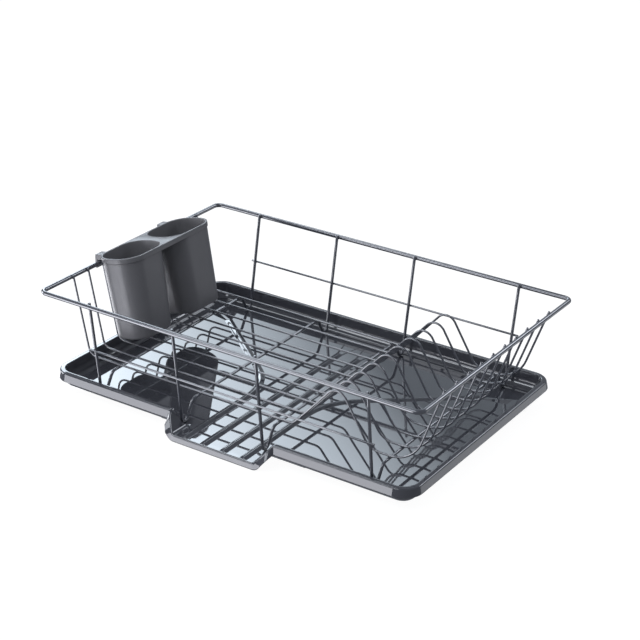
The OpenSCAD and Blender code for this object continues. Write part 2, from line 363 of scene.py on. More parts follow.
LEFT_TOP = RIM_HALF_L - lean_gap(RIM_D, THIN_D, LEFT_LEAN)
RIGHT_TOP = RIM_HALF_L - lean_gap(RIM_D, THIN_D, RIGHT_LEAN)
ARCH_CORNER = ARCH_H + ARCH_BEND * (1 / math.cos((ARCH_UP + ARCH_DOWN) / 2) - 1)
ARCH_PEAK_X = ARCH_X + ARCH_CORNER / math.tan(ARCH_UP)
VALLEY_X = ARCH_PEAK_X + ARCH_CORNER / math.tan(ARCH_DOWN)
LONG_PATH = [
    (-LEFT_TOP - LEFT_LEAN * CUT_END, CUT_END, 0),
    (-LEFT_TOP + LEFT_LEAN * FLOOR_DEPTH, -FLOOR_DEPTH, END_BEND),
    (ARCH_X, -FLOOR_DEPTH, END_BEND),
    (ARCH_PEAK_X, -FLOOR_DEPTH + ARCH_CORNER, ARCH_BEND),
    (VALLEY_X, -FLOOR_DEPTH, VALLEY_BEND),
    (RIGHT_TOP - RIGHT_LEAN * FLOOR_DEPTH, -FLOOR_DEPTH, SCOOP_BEND),
    (RIGHT_TOP + RIGHT_LEAN * CUT_END, CUT_END, 0)]

X_AXIS = Vector((1, 0, 0))
Y_AXIS = Vector((0, 1, 0))

# Half sizes of the weld beads: along the first wire, across it and upwards
CROSS_RIM_BEAD = (CROSS_D * 0.85, CROSS_D * 0.62, 0.7)
CROSS_RAIL_BEAD = (THIN_D * 0.95, THIN_D * 0.6, 0.45)
LONG_RIM_BEAD = (THIN_D * 0.9, THIN_D * 0.75, 0.55)
LONG_CROSS_BEAD = (THIN_D * 0.85, THIN_D * 0.75, 0.4)


def build_rim(material):
    loop = [(0, -RIM_HALF_W, 0), (RIM_HALF_L, -RIM_HALF_W, RIM_R), (RIM_HALF_L, RIM_HALF_W, RIM_R),
            (-RIM_HALF_L, RIM_HALF_W, RIM_R), (-RIM_HALF_L, -RIM_HALF_W, RIM_R), (0, -RIM_HALF_W, 0)]
    bm = bmesh.new()
    wire_tube(bm, loop, RIM_D, "level", 0, closed=True, sides=28, bend_steps=16)
    make_piece("coated_rim_wire", "rack", ["rim_wire"], material, bm)


def build_cross_wire(node, material):
    x = middle_mm(node)[0] - RACK.x
    bm = bmesh.new()
    wire_tube(bm, CROSS_PATH, CROSS_D, "across", x)
    for side, lean in ((-1, FRONT_LEAN), (1, BACK_LEAN)):
        slope = Vector((0, side * lean, 1)).normalized()
        contact = Vector((x, side * (RIM_HALF_W - RIM_D / 2), 0)) + RACK
        weld_bead(bm, contact, X_AXIS, slope, CROSS_RIM_BEAD)
    make_piece("coated_" + node, "rack", [node], material, bm)


def build_rail(node, side, lean, material):
    low, high = box_mm(node)
    _, y, z = middle_mm(node)
    bm = bmesh.new()
    path = [(low.x - RACK.x, z - RACK.z, 0), (high.x - RACK.x, z - RACK.z, 0)]
    wire_tube(bm, path, THIN_D, "along", y - RACK.y)
    slope = Vector((0, side * lean, 1)).normalized()
    for cross in CROSS_NODES:
        contact = Vector((middle_mm(cross)[0], y - side * THIN_D / 2, z))
        weld_bead(bm, contact, X_AXIS, slope, CROSS_RAIL_BEAD)
    make_piece("coated_" + node, "rack", [node], material, bm)


def build_long_wire(node, material):
    y = middle_mm(node)[1]
    bm = bmesh.new()
    wire_tube(bm, LONG_PATH, THIN_D, "along", y - RACK.y)
    for side, lean in ((-1, LEFT_LEAN), (1, RIGHT_LEAN)):
        slope = Vector((side * lean, 0, 1)).normalized()
        contact = Vector((side * (RIM_HALF_L - RIM_D / 2), y - RACK.y, 0)) + RACK
        weld_bead(bm, contact, Y_AXIS, slope, LONG_RIM_BEAD)
    for cross in CROSS_NODES:
        contact = Vector((middle_mm(cross)[0], y, RACK.z - FLOOR_DEPTH - THIN_D / 2))
        weld_bead(bm, contact, X_AXIS, Y_AXIS, LONG_CROSS_BEAD)
    make_piece("coated_" + node, "rack", [node], material, bm)


# ---- Drip tray ----

BEND_STEPS = 8
CORNER_STEPS = 16
FRONT_STEPS = 8
SIDE_STEPS = 16
SPOUT_STEPS = 12
SUPPORT = 0.8           # a flat strip beside each bend keeps the floor's reflection straight
WALL_SUPPORT = 0.5      # the same above the bend, on the outside
WALL_MID_Z = 22.0
WALL_DRAFT = 0.15       # how far the inner wall leans out by its top edge
EDGE_R = 0.9
CREST = 1.3             # where the lip's top begins to fall away, measured from the wall
LIP_FALL = 0.13         # how fast it falls from there to its outer shoulder
SHOULDER_R = 2.0
SHOULDER_SUPPORT = 0.6
HEM_H = 0.6             # softened lower edge of the skirt: its height and its width
HEM_W = 0.4
HEM_SUPPORT = 1.3
UNDER_LIP = 0.3         # where the lip's underside meets the outer wall, past the wall's thickness
LIP_FADE = 2.5          # drop at the spout's sides over which the lip's top turns flat
FLARE_FADE = 6.0        # drop at the spout's sides over which the skirt gives way to the band


def front_y(z):
    """How far forward the spout's sloping front stands at a height."""
    share = min(max((TRAY_H - z) / (TRAY_H - FLOOR_Z), 0), 1)
    return HALF_W + SPOUT_REACH * share


def arc_pairs(centre, radius, start, end, steps):
    """Points of an arc between two angles in degrees."""
    pairs = []
    for k in range(steps + 1):
        angle = math.radians(start + (end - start) * k / steps)
        pairs.append((centre[0] + radius * math.cos(angle), centre[1] + radius * math.sin(angle)))
    return pairs


# Inner stations of the wall: (distance out from the inner wall line, height)
UPPER_BEND = [(-FLOOR_BEND - SUPPORT, FLOOR_Z)] + arc_pairs(
    (-FLOOR_BEND, FLOOR_Z + FLOOR_BEND), FLOOR_BEND, -90, 0, BEND_STEPS)
UPPER_WALL = [(WALL_DRAFT / 3, WALL_MID_Z)] + arc_pairs(
    (WALL_DRAFT + EDGE_R, TRAY_H - EDGE_R), EDGE_R, 180, 90, 4)
LOWER_BEND = [(TRAY_T, FLOOR_Z + FLOOR_BEND + WALL_SUPPORT)] + arc_pairs(
    (-FLOOR_BEND, FLOOR_Z + FLOOR_BEND), FLOOR_BEND + TRAY_T, 0, -90, BEND_STEPS) + [
    (-FLOOR_BEND - SUPPORT, FLOOR_Z - TRAY_T)]
# Outer stations, measured back from the front edge: the lip's gently falling top, then (back, depth)
# pairs round its shoulder
LIP_TOP = [4.4, 3.4, 2.6, SHOULDER_R]
SHOULDER = [(SHOULDER_R - SHOULDER_R * math.cos(math.radians(angle)),
             SHOULDER_R - SHOULDER_R * math.sin(math.radians(angle))) for angle in (82, 62, 42, 22, 4)]
# Numbers of the last station on the lip's top and of the first one on its underside
HEM_POINTS = 6
NEAR_FRONT = len(UPPER_BEND) + len(UPPER_WALL) + len(LIP_TOP) - 1
UNDER_FRONT = NEAR_FRONT + len(SHOULDER) + HEM_POINTS + 1


def lip_fall(distance, front):
    """Drop of the lip's top below its crest, the same at the shoulder wherever the front edge is."""
    reach = LIP_W - CREST - SHOULDER_R
    share = (distance - CREST) / max(front - CREST - SHOULDER_R, reach)
    return LIP_FALL * reach * min(max(share, 0), 1)


def hem_points(shoulder, band_end, outward):
    """Down the skirt from its shoulder, round its lower edge and back to its inside."""
    down = (band_end - shoulder).normalized()
    return [shoulder + down * SHOULDER_SUPPORT,
            band_end - down * HEM_SUPPORT,
            band_end - down * HEM_H,
            band_end - outward * HEM_W,
            band_end - outward * (TRAY_T - HEM_W),
            band_end - down * HEM_H - outward * TRAY_T]


def tray_column(edge, into, outward, front, band_end, lipness):
    """One cross-section of the tray's edge, from its floor over the lip and back below.

    edge is the wall's top, where distances begin, and into points down into the plastic.
    """
    def place(distance, depth):
        return edge + outward * distance + into * depth

    def bend_point(distance, depth, z):
        point = place(distance, depth)
        point.z = min(z, edge.z + into.z * depth)
        return point

    column = [bend_point(distance, 0, z) for distance, z in UPPER_BEND + UPPER_WALL]
    for back, depth in [(back, 0) for back in LIP_TOP] + SHOULDER:
        column.append(place(front - back, depth + lip_fall(front - back, front) * lipness))
    column += hem_points(column[-1], band_end, outward)
    column += [place(front - TRAY_T, TRAY_T), place(TRAY_T + UNDER_LIP, TRAY_T)]
    return column + [bend_point(distance, TRAY_T, z) for distance, z in LOWER_BEND]


def lip_column(base, outward):
    """The cross-section at a point of the inner wall's line."""
    edge = Vector((base.x, base.y, TRAY_H))
    down = Vector((0, 0, -1))
    end = edge + outward * (LIP_W + SKIRT_FLARE) + down * SKIRT_DROP
    return tray_column(edge, down, outward, LIP_W, end, 1)


def straight_columns(start, end, outward, steps):
    """Cross-sections between two points of the wall's line, without those at its ends."""
    return [lip_column(start.lerp(end, k / steps), outward) for k in range(1, steps)]


def corner_columns(centre, start):
    """Cross-sections round a corner of the tray, from an angle in degrees on."""
    columns = []
    for k in range(CORNER_STEPS + 1):
        angle = math.radians(start + 90 * k / CORNER_STEPS)
        outward = Vector((math.cos(angle), math.sin(angle), 0))
        columns.append(lip_column(centre + outward * WALL_R, outward))
    return columns


def plain_columns():
    """Cross-sections round the tray from the spout's right side to its left side."""
    x = WALL_X - WALL_R
    y = WALL_Y - WALL_R
    forward = Vector((0, -1, 0))
    centres = [Vector((x, -y, 0)), Vector((x, y, 0)), Vector((-x, y, 0)), Vector((-x, -y, 0))]
    right_end = Vector((SPOUT_END, -WALL_Y, 0))
    left_end = Vector((-SPOUT_END, -WALL_Y, 0))
    columns = straight_columns(right_end, Vector((x, -WALL_Y, 0)), forward, FRONT_STEPS)
    for number, centre in enumerate(centres):
        start = 90 * (number - 1)
        columns += corner_columns(centre, start)
        if number < 3:
            angle = math.radians(start + 90)
            outward = Vector((round(math.cos(angle)), round(math.sin(angle)), 0))
            reach = outward * WALL_R
            columns += straight_columns(centre + reach, centres[number + 1] + reach, outward, SIDE_STEPS)
    return columns + straight_columns(Vector((-x, -WALL_Y, 0)), left_end, forward, FRONT_STEPS)


def mirrored(path):
    """A path's corners, and then their mirror images on the way back out."""
    return path + [(-x, z, r) for x, z, r in reversed(path)]


def spout_paths():
    """Seen from the front: the spout's upper edge, and the lower edge of its turned-down band."""
    slope = Vector((SPOUT_TOP_HALF - SPOUT_FLOOR_HALF, FLOOR_Z - TRAY_H)).normalized()
    away = Vector((slope.y, -slope.x))
    band_top = Vector((-SPOUT_TOP_HALF, TRAY_H)) + away * SPOUT_BAND
    skirt_z = TRAY_H - SKIRT_DROP
    band_z = FLOOR_Z - SPOUT_BAND

    def on_band(z):
        return band_top.x + slope.x * (band_top.y - z) / -slope.y

    edge = [(-SPOUT_END, TRAY_H, 0), (-SPOUT_TOP_HALF, TRAY_H, SPOUT_TOP_BEND),
            (-SPOUT_FLOOR_HALF, FLOOR_Z, SPOUT_FLOOR_BEND)]
    band = [(-SPOUT_END, skirt_z, 0), (on_band(skirt_z), skirt_z, BAND_TOP_BEND),
            (on_band(band_z), band_z, BAND_LOW_BEND)]
    return mirrored(edge), mirrored(band)


def spout_columns():
    """Cross-sections from the spout's left end to its right end, and the numbers of those on its floor."""
    edges, bands = [follow(path, SPOUT_STEPS, BEND_STEPS) for path in spout_paths()]
    columns = []
    on_floor = []
    outward = Vector((0, -1, 0))
    for (edge, direction), (band, _) in zip(edges, bands):
        into = Vector((direction.y, 0, -direction.x))
        lipness = max(0, 1 - (TRAY_H - edge.y) / LIP_FADE)
        front = front_y(edge.y) - WALL_Y
        drop = min(max((TRAY_H - edge.y) / FLARE_FADE, 0), 1)
        drop = drop * drop * (3 - 2 * drop)     # starts and ends gently
        band_y = (HALF_W + SKIRT_FLARE) * (1 - drop) + front_y(band.y) * drop
        start = Vector((edge.x, -WALL_Y, edge.y))
        end = Vector((band.x, -band_y, band.y))
        if edge.y < FLOOR_Z + MERGE / 2:
            on_floor.append(len(columns))
        columns.append(tray_column(start, into, outward, front, end, lipness))
    return columns, on_floor


def rib_stretch(x, start, end, steps):
    """Points along y, where a rib runs straight from front to back."""
    return [Vector((x, start + (end - start) * k / steps)) for k in range(steps + 1)]


RIB_STEPS = 40
RIB_PART_STEPS = 20     # along each straight part of a rib that turns aside
RIB_TURN_STEPS = 24


def rib_lines():
    """Centre lines of the moulded drain ribs, each from the spout to its far end."""
    front = -(SPOUT_FRONT - RIB_SETBACK)
    lines = [rib_stretch(x * RIB_PITCH, front, RIB_BACK, RIB_STEPS) for x in (-0.5, 0.5)]
    x = 1.5 * RIB_PITCH
    line = rib_stretch(x, front, RIB_TURN_Y, RIB_PART_STEPS)[:-1]
    centre = Vector((x + RIB_TURN_R, RIB_TURN_Y))
    for k in range(RIB_TURN_STEPS + 1):
        angle = math.pi - RIB_TURN * k / RIB_TURN_STEPS
        line.append(centre + Vector((math.cos(angle), math.sin(angle))) * RIB_TURN_R)
    aside = Vector((math.sin(RIB_TURN), math.cos(RIB_TURN)))
    corner = line[-1]
    line += [corner + aside * RIB_TAIL * k / RIB_PART_STEPS for k in range(1, RIB_PART_STEPS + 1)]
    return lines + [[Vector((side * p.x, p.y)) for p in line] for side in (-1, 1)]


def ridge_height(offset):
    """Height of a rib's sloping sides and rounded crest, as a share of its full height."""
    slope = math.hypot(offset, RIB_CREST) - RIB_CREST
    foot = math.hypot(1, RIB_CREST) - RIB_CREST
    return max(0.0, 1 - slope / foot)


# Stations across a rib, in half widths; the outermost one is already on the floor
HALF_OFFSETS = [0.07, 0.18, 0.4, 0.66, 0.84, 1.0, 1.12]
RIB_OFFSETS = [-offset for offset in reversed(HALF_OFFSETS)] + [0.0] + HALF_OFFSETS
# Stations along a rising end, and where the plain ones begin, as shares of RIB_END
END_STATIONS = (0.12, 0.3, 0.6, 1.0)
END_MARGIN = 1.2


def rib_stations(line):
    """A rib's centre line as (point, share of its full height), with more stations near its ends."""
    run = 0.0
    plain = []
    for point, following in zip(line, line[1:]):
        plain.append((point, run))
        run += (following - point).length
    first = line[0]
    last = line[-1]
    start_step = (line[1] - first).normalized() * RIB_END
    end_step = (last - line[-2]).normalized() * RIB_END
    stations = [(first, 0.0)] + [(first + start_step * s, RIB_END * s) for s in END_STATIONS]
    stations += [pair for pair in plain if RIB_END * END_MARGIN < pair[1] < run - RIB_END * END_MARGIN]
    stations += [(last - end_step * s, run - RIB_END * s) for s in reversed(END_STATIONS)] + [(last, run)]
    rising = []
    for point, travelled in stations:
        share = min(travelled, run - travelled) / RIB_END
        rising.append((point, math.sqrt(max(0, 1 - (1 - min(share, 1)) ** 2))))
    return rising


def add_rib(bm, line):
    """A ridge on the tray's floor. Returns its outline there."""
    stations = rib_stations(line)
    rows = []
    for i, (point, rise) in enumerate(stations):
        before = stations[max(i - 1, 0)][0]
        after = stations[min(i + 1, len(stations) - 1)][0]
        direction = (after - before).normalized()
        normal = Vector((-direction.y, direction.x))
        row = []
        for offset in RIB_OFFSETS:
            place = point + normal * RIB_HALF * offset
            row.append(bm.verts.new((place.x, place.y, FLOOR_Z + RIB_H * rise * ridge_height(offset))))
        rows.append(row)
    for a, b in zip(rows, rows[1:]):
        bridge(bm, a, b, closed=False)
    outline = [row[0] for row in rows] + rows[-1][1:-1]
    return outline + [row[-1] for row in reversed(rows)] + rows[0][-2:0:-1]


def inside(point, loop):
    """Whether a 2D point lies in a closed loop of 2D points."""
    result = False
    for a, b in zip(loop, loop[1:] + loop[:1]):
        if (a.y > point.y) != (b.y > point.y):
            if point.x < a.x + (b.x - a.x) * (point.y - a.y) / (b.y - a.y):
                result = not result
    return result


FILL_TOLERANCE = 1e-5   # corners nearer to each other than this count as one


def fill_region(bm, outer, holes):
    """Triangles over a flat region, sharing the vertices of its outer loop and of its holes."""
    loops = [outer] + holes
    verts = []
    edges = []
    for loop in loops:
        start = len(verts)
        verts += loop
        edges += [(start + i, start + (i + 1) % len(loop)) for i in range(len(loop))]
    flat = [v.co.xy for v in verts]
    flat_loops = [[v.co.xy for v in loop] for loop in loops]
    points, _, faces, origins, _, _ = delaunay_2d_cdt(flat, edges, [], 0, FILL_TOLERANCE)
    for face in faces:
        centre = sum((points[i] for i in face), Vector((0, 0))) / 3
        if not inside(centre, flat_loops[0]):
            continue
        if any(inside(centre, loop) for loop in flat_loops[1:]):
            continue
        corners = [verts[origins[i][0]] for i in face if origins[i]]
        if len(set(corners)) == 3:
            bm.faces.new(corners)


def rounded_bar(bm, low, high, bevel):
    """A box with softened edges. Returns its vertices."""
    earlier = set(bm.verts)
    made = bmesh.ops.create_cube(bm, size=1)
    size = high - low
    middle = (high + low) / 2
    for v in made["verts"]:
        v.co = Vector((v.co.x * size.x, v.co.y * size.y, v.co.z * size.z)) + middle
    edges = list({e for v in made["verts"] for e in v.link_edges})
    bmesh.ops.bevel(bm, geom=edges, offset=bevel, segments=2, affect="EDGES", profile=0.5)
    return [v for v in bm.verts if v not in earlier]


def add_stand_rib(bm, y):
    """A rib that the tray stands on, which narrows downwards."""
    low = Vector((-STAND_L / 2, y - STAND_T / 2, 0))
    high = Vector((STAND_L / 2, y + STAND_T / 2, FLOOR_Z - TRAY_T / 2))
    for v in rounded_bar(bm, low, high, STAND_EDGE):
        v.co.y = y + (v.co.y - y) * (1 - STAND_TAPER * (high.z - v.co.z))


def bridge_rows(bm, plain_rows, spout_rows, first, last):
    """Joins the rows into a band round the tray, which on the spout's floor is only its front edge."""
    loop = plain_rows + spout_rows
    for i, row in enumerate(loop):
        on_floor = first <= i - len(plain_rows) < last
        part = slice(NEAR_FRONT, UNDER_FRONT + 1) if on_floor else slice(None)
        bridge(bm, row[part], loop[(i + 1) % len(loop)][part], closed=False)


def floor_outline(plain_rows, spout_rows, first, last):
    """Outline of a floor, from rows that run from the wall's foot to the lip's front."""
    outline = [row[0] for row in plain_rows + spout_rows[:first + 1]]
    outline += spout_rows[first][1:-1]
    outline += [row[-1] for row in spout_rows[first:last + 1]]
    outline += reversed(spout_rows[last][1:-1])
    return outline + [row[0] for row in spout_rows[last:]]


def build_tray(material):
    bm = bmesh.new()
    columns, on_floor = spout_columns()
    first = on_floor[0]
    last = on_floor[-1]
    plain_rows = [ring_verts(bm, column) for column in plain_columns()]
    spout_rows = [ring_verts(bm, column) for column in columns]
    for row in spout_rows[first + 1:last]:
        for unused in row[:NEAR_FRONT] + row[UNDER_FRONT + 1:]:
            bm.verts.remove(unused)
    bridge_rows(bm, plain_rows, spout_rows, first, last)
    ribs = [add_rib(bm, line) for line in rib_lines()]
    for part, holes in ((slice(0, NEAR_FRONT + 1), ribs), (slice(None, UNDER_FRONT - 1, -1), [])):
        plain_parts = [row[part] for row in plain_rows]
        spout_parts = [row[part] for row in spout_rows]
        fill_region(bm, floor_outline(plain_parts, spout_parts, first, last), holes)
    for y in (-STAND_Y, 0, STAND_Y):
        add_stand_rib(bm, y)
    make_piece("moulded_drip_tray", "tray", ["drip_tray"], material, bm)


# ---- Cutlery holder ----


LOOP_CORNER_STEPS = 14
LOOP_SIDE_STEPS = 4


def rounded_loop(length_x, length_y, radius, centre_y=0.0):
    """Points round a rounded rectangle, always in the same order and number."""
    points = []
    half_x = length_x / 2 - radius
    half_y = length_y / 2 - radius
    corners = [(half_x, half_y, 0), (-half_x, half_y, 90), (-half_x, -half_y, 180), (half_x, -half_y, 270)]
    for number, (x, y, start) in enumerate(corners):
        for k in range(LOOP_CORNER_STEPS + 1):
            angle = math.radians(start + 90 * k / LOOP_CORNER_STEPS)
            points.append(Vector((x + radius * math.cos(angle), y + radius * math.sin(angle))))
        next_x, next_y, next_start = corners[(number + 1) % 4]
        angle = math.radians(next_start)
        bend_end = points[-1]
        next_bend = Vector((next_x + radius * math.cos(angle), next_y + radius * math.sin(angle)))
        points += [bend_end.lerp(next_bend, k / LOOP_SIDE_STEPS) for k in range(1, LOOP_SIDE_STEPS)]
    return [p + Vector((0, centre_y)) for p in points]


CUP_W = HOLDER_W - 2 * HOLDER_FLANGE
CUP_MEAN_L = (HOLDER_L - 2 * HOLDER_FLANGE - CUP_GAP) / 2
CUP_DEPTHS = (30, 60, 85)       # stations down a cup's walls
CUP_INNER_R = 3.0
CUP_OUTER_R = 2.2
CUP_ROUND_STEPS = 5
POCKET_MARGIN = 1.4             # between a cup's wall and the hollow under the bridge
POCKET_INSET = 2.6
POCKET_NEAR = 3.0               # how near along x a cup's outline counts as beside the hollow
POCKET_STEPS = 16
DRAIN_STEPS = 24
DRAIN_SINK = 0.4                # how far a drain hole's edges widen, and from how far below the floor
DRAIN_LOW_SINK = 0.3            # the same from the underside
# Rounded edges as (distance from the wall's own face, height)
MOUTH_EDGE = ((0.7, 0.0), (0.28, -0.12), (0.06, -0.38))             # a cup's mouth
MOUTH_END = 0.8                                                     # depth at which it ends
RIM_EDGE = ((0.8, 0.0), (0.3, -0.1), (0.06, -0.36), (0, -0.8))      # the holder's rim
BAND_EDGE = ((0, 0.6), (0.08, 0.25), (0.3, 0))                      # the rim's lower edge, from there up


def cup_loop(side, inset, depth):
    """Outline of a cup at a depth below the rim; side -1 is the front cup."""
    length = CUP_MEAN_L + side * GAP_SHIFT
    centre = side * (CUP_GAP + length) / 2 - GAP_SHIFT
    narrowing = SIDE_DRAFT * depth
    return rounded_loop(
        CUP_W - 2 * inset - 2 * narrowing,
        length - 2 * inset - (FACING_DRAFT + END_DRAFT) * depth,
        HOLDER_R - HOLDER_FLANGE - inset - narrowing,
        centre + side * (FACING_DRAFT - END_DRAFT) * depth / 2)


def loft(bm, stations):
    """Walls through (loop of 2D points, height) stations. Returns the first and the last ring."""
    rings = [ring_verts(bm, [Vector((p.x, p.y, z)) for p in loop]) for loop, z in stations]
    for a, b in zip(rings, rings[1:]):
        bridge(bm, a, b)
    return rings[0], rings[-1]


def circle(centre, radius):
    """Points round a drain hole."""
    angles = [2 * math.pi * k / DRAIN_STEPS for k in range(DRAIN_STEPS)]
    return [centre + Vector((math.cos(angle), math.sin(angle))) * radius for angle in angles]


def drain_rings(bm, side):
    """Drain holes through a cup's floor: pairs of an inner and an outer ring."""
    loop = cup_loop(side, HOLDER_T, HOLDER_DEPTH)
    centre = sum(loop, Vector((0, 0))) / len(loop)
    top = -HOLDER_DEPTH + HOLDER_T
    pairs = []
    for i in (-1, 0, 1):
        for j in (-1, 0, 1):
            place = centre + Vector((i * DRAIN_PITCH, j * DRAIN_PITCH))
            hole = circle(place, DRAIN_D / 2)
            wide = circle(place, DRAIN_D / 2 + DRAIN_SINK)
            pairs.append(loft(bm, [(wide, top), (hole, top - DRAIN_SINK),
                                   (hole, -HOLDER_DEPTH + DRAIN_LOW_SINK), (wide, -HOLDER_DEPTH)]))
    return pairs


def round_over(side, inset, depth, radius):
    """Stations that turn a cup's wall into its floor with a rounded edge and a flat strip beside it."""
    stations = []
    for k in range(CUP_ROUND_STEPS + 1):
        angle = math.pi / 2 * k / CUP_ROUND_STEPS
        shrink = radius * (1 - math.cos(angle))
        level = depth - radius + radius * math.sin(angle)
        stations.append((cup_loop(side, inset + shrink, level), -level))
    return stations + [(cup_loop(side, inset + radius + SUPPORT, depth), -depth)]


def build_cup(bm, side):
    """A cup's inner and outer walls and its floor. Returns its mouth ring and its outer top ring."""
    inner = [(cup_loop(side, HOLDER_T - spread, 0), z) for spread, z in MOUTH_EDGE]
    inner += [(cup_loop(side, HOLDER_T, depth), -depth) for depth in (MOUTH_END, HOLDER_BAND, *CUP_DEPTHS)]
    inner += round_over(side, HOLDER_T, HOLDER_DEPTH - HOLDER_T, CUP_INNER_R)
    mouth_ring, inner_floor = loft(bm, inner)
    outer = [(cup_loop(side, 0, depth), -depth) for depth in (HOLDER_BAND, HOLDER_BAND + 1, *CUP_DEPTHS)]
    outer += round_over(side, 0, HOLDER_DEPTH, CUP_OUTER_R)
    outer_top, outer_floor = loft(bm, outer)
    holes = drain_rings(bm, side)
    fill_region(bm, inner_floor, [pair[0] for pair in holes])
    fill_region(bm, outer_floor, [pair[1] for pair in holes])
    return mouth_ring, outer_top


def pocket_loop():
    """Outline of the hollow under the bridge between the two cups."""
    front_cup = cup_loop(-1, 0, HOLDER_BAND)
    back_cup = cup_loop(1, 0, HOLDER_BAND)
    half = HOLDER_W / 2 - POCKET_INSET
    xs = [-half + 2 * half * k / POCKET_STEPS for k in range(POCKET_STEPS + 1)]

    def facing(loop, x, pick):
        return pick(p.y for p in loop if abs(p.x - x) < POCKET_NEAR)

    low = [Vector((x, facing(front_cup, x, max) + POCKET_MARGIN)) for x in xs]
    high = [Vector((x, facing(back_cup, x, min) - POCKET_MARGIN)) for x in reversed(xs)]
    return low + high


def hook_outline():
    """Side view of a hook: from the holder's wall over the rim wire and down outside it."""
    saddle = RIM_D / 2 + CLEARANCE
    wall = 2 * HOLDER_T
    top = HOLDER_AT.z - HOOK_REACH * LEFT_LEAN
    return [(wall, saddle + wall * LEFT_LEAN), (wall, top + 2 * HOOK_T * LEFT_LEAN),
            (-HOOK_REACH, top - HOOK_BEVEL), (-HOOK_REACH, -HOOK_DROP),
            (-HOOK_REACH + HOOK_T, -HOOK_DROP), (-HOOK_REACH + HOOK_T, saddle)]


def add_hook(bm, y):
    """A hook over the rim wire, which stands upright although the cups lean."""
    at = RACK + HOLDER_AT
    front = []
    back = []
    for x, z in hook_outline():
        front.append(bm.verts.new((at.x + x, at.y + y - HOOK_W / 2, RACK.z + z)))
        back.append(bm.verts.new((at.x + x, at.y + y + HOOK_W / 2, RACK.z + z)))
    faces = [bm.faces.new(front), bm.faces.new(list(reversed(back)))]
    bridge(bm, front, back)
    edges = {e for face in faces for e in face.edges}
    for a, b in zip(front, back):
        edges.add(bm.edges.get((a, b)))
    bmesh.ops.bevel(bm, geom=list(edges), offset=HOOK_EDGE, segments=3, affect="EDGES", profile=0.5)


def holder_outline(inset):
    """Outline of the holder's rim, round both cups."""
    return rounded_loop(HOLDER_W - 2 * inset, HOLDER_L - 2 * inset, HOLDER_R - inset)


def build_holder(material):
    bm = bmesh.new()
    cups = [build_cup(bm, side) for side in (-1, 1)]
    rim = [(holder_outline(inset), z) for inset, z in RIM_EDGE]
    rim += [(holder_outline(inset), -HOLDER_BAND + z) for inset, z in BAND_EDGE]
    top_ring, band_ring = loft(bm, rim)
    pocket = pocket_loop()
    pocket_ring, pocket_top = loft(bm, [(pocket, -HOLDER_BAND), (pocket, -HOLDER_T)])
    fill_region(bm, pocket_top, [])
    fill_region(bm, top_ring, [cup[0] for cup in cups])
    fill_region(bm, band_ring, [cup[1] for cup in cups] + [pocket_ring])
    tilt = Matrix.Rotation(-HOLDER_TILT, 4, "Y")
    move = Matrix.Translation(RACK + HOLDER_AT) @ tilt @ Matrix.Translation((HOLDER_W / 2, 0, 0))
    bmesh.ops.transform(bm, matrix=move, verts=bm.verts)
    for side in (-1, 1):
        add_hook(bm, side * HOOK_Y)
    make_piece("moulded_cutlery_holder", "cutlery_holder", ["cutlery_holder"], material, bm)


# ---- Materials ----


def new_material(name):
    """A material with its node tree and its Principled shader."""
    material = bpy.data.materials.new(name)
    material.use_nodes = True
    tree = material.node_tree
    return material, tree, tree.nodes["Principled BSDF"]


def noise(tree, scale, detail=3.0, rough=0.5):
    """Noise in the object's own coordinates, in metres."""
    coords = tree.nodes.new("ShaderNodeTexCoord")
    texture = tree.nodes.new("ShaderNodeTexNoise")
    texture.inputs["Scale"].default_value = scale
    texture.inputs["Detail"].default_value = detail
    texture.inputs["Roughness"].default_value = rough
    tree.links.new(coords.outputs["Object"], texture.inputs["Vector"])
    return texture.outputs["Fac"]


def as_colour(value):
    """A grey level or a colour, as a colour with alpha."""
    return (value, value, value, 1) if isinstance(value, float) else (*value, 1)


def ramp(tree, value, low, high, at=(0.3, 0.7)):
    """Maps a value to a colour or a grey between two ends."""
    node = tree.nodes.new("ShaderNodeValToRGB")
    for element, position, colour in zip(node.color_ramp.elements, at, (low, high)):
        element.position = position
        element.color = as_colour(colour)
    tree.links.new(value, node.inputs["Fac"])
    return node.outputs["Color"]


def bump(tree, shader, heights, distance):
    """Adds bump from one or more heights; each is (output, strength)."""
    last = None
    for height, strength in heights:
        node = tree.nodes.new("ShaderNodeBump")
        node.inputs["Strength"].default_value = strength
        node.inputs["Distance"].default_value = distance
        tree.links.new(height, node.inputs["Height"])
        if last is not None:
            tree.links.new(last, node.inputs["Normal"])
        last = node.outputs["Normal"]
    tree.links.new(last, shader.inputs["Normal"])


def vary(tree, shader, socket, pattern, low, high, at=(0.3, 0.7)):
    """Lets noise vary one of the shader's inputs; pattern is its scale, detail and roughness."""
    tree.links.new(ramp(tree, noise(tree, *pattern), low, high, at), shader.inputs[socket])


def wire_material():
    """Grey powder coat over steel: satin, with a fine orange peel."""
    material, tree, shader = new_material("powder_coated_wire")
    vary(tree, shader, "Base Color", (60,), (0.064, 0.069, 0.089), (0.078, 0.083, 0.105))
    vary(tree, shader, "Roughness", (900, 2), 0.26, 0.36)
    shader.inputs["Metallic"].default_value = 0.35
    shader.inputs["Coat Weight"].default_value = 1.0
    shader.inputs["Coat Roughness"].default_value = 0.07
    shader.inputs["Coat IOR"].default_value = 2.3
    bump(tree, shader, [(noise(tree, 500, 2), 0.03)], 0.0002)
    return material


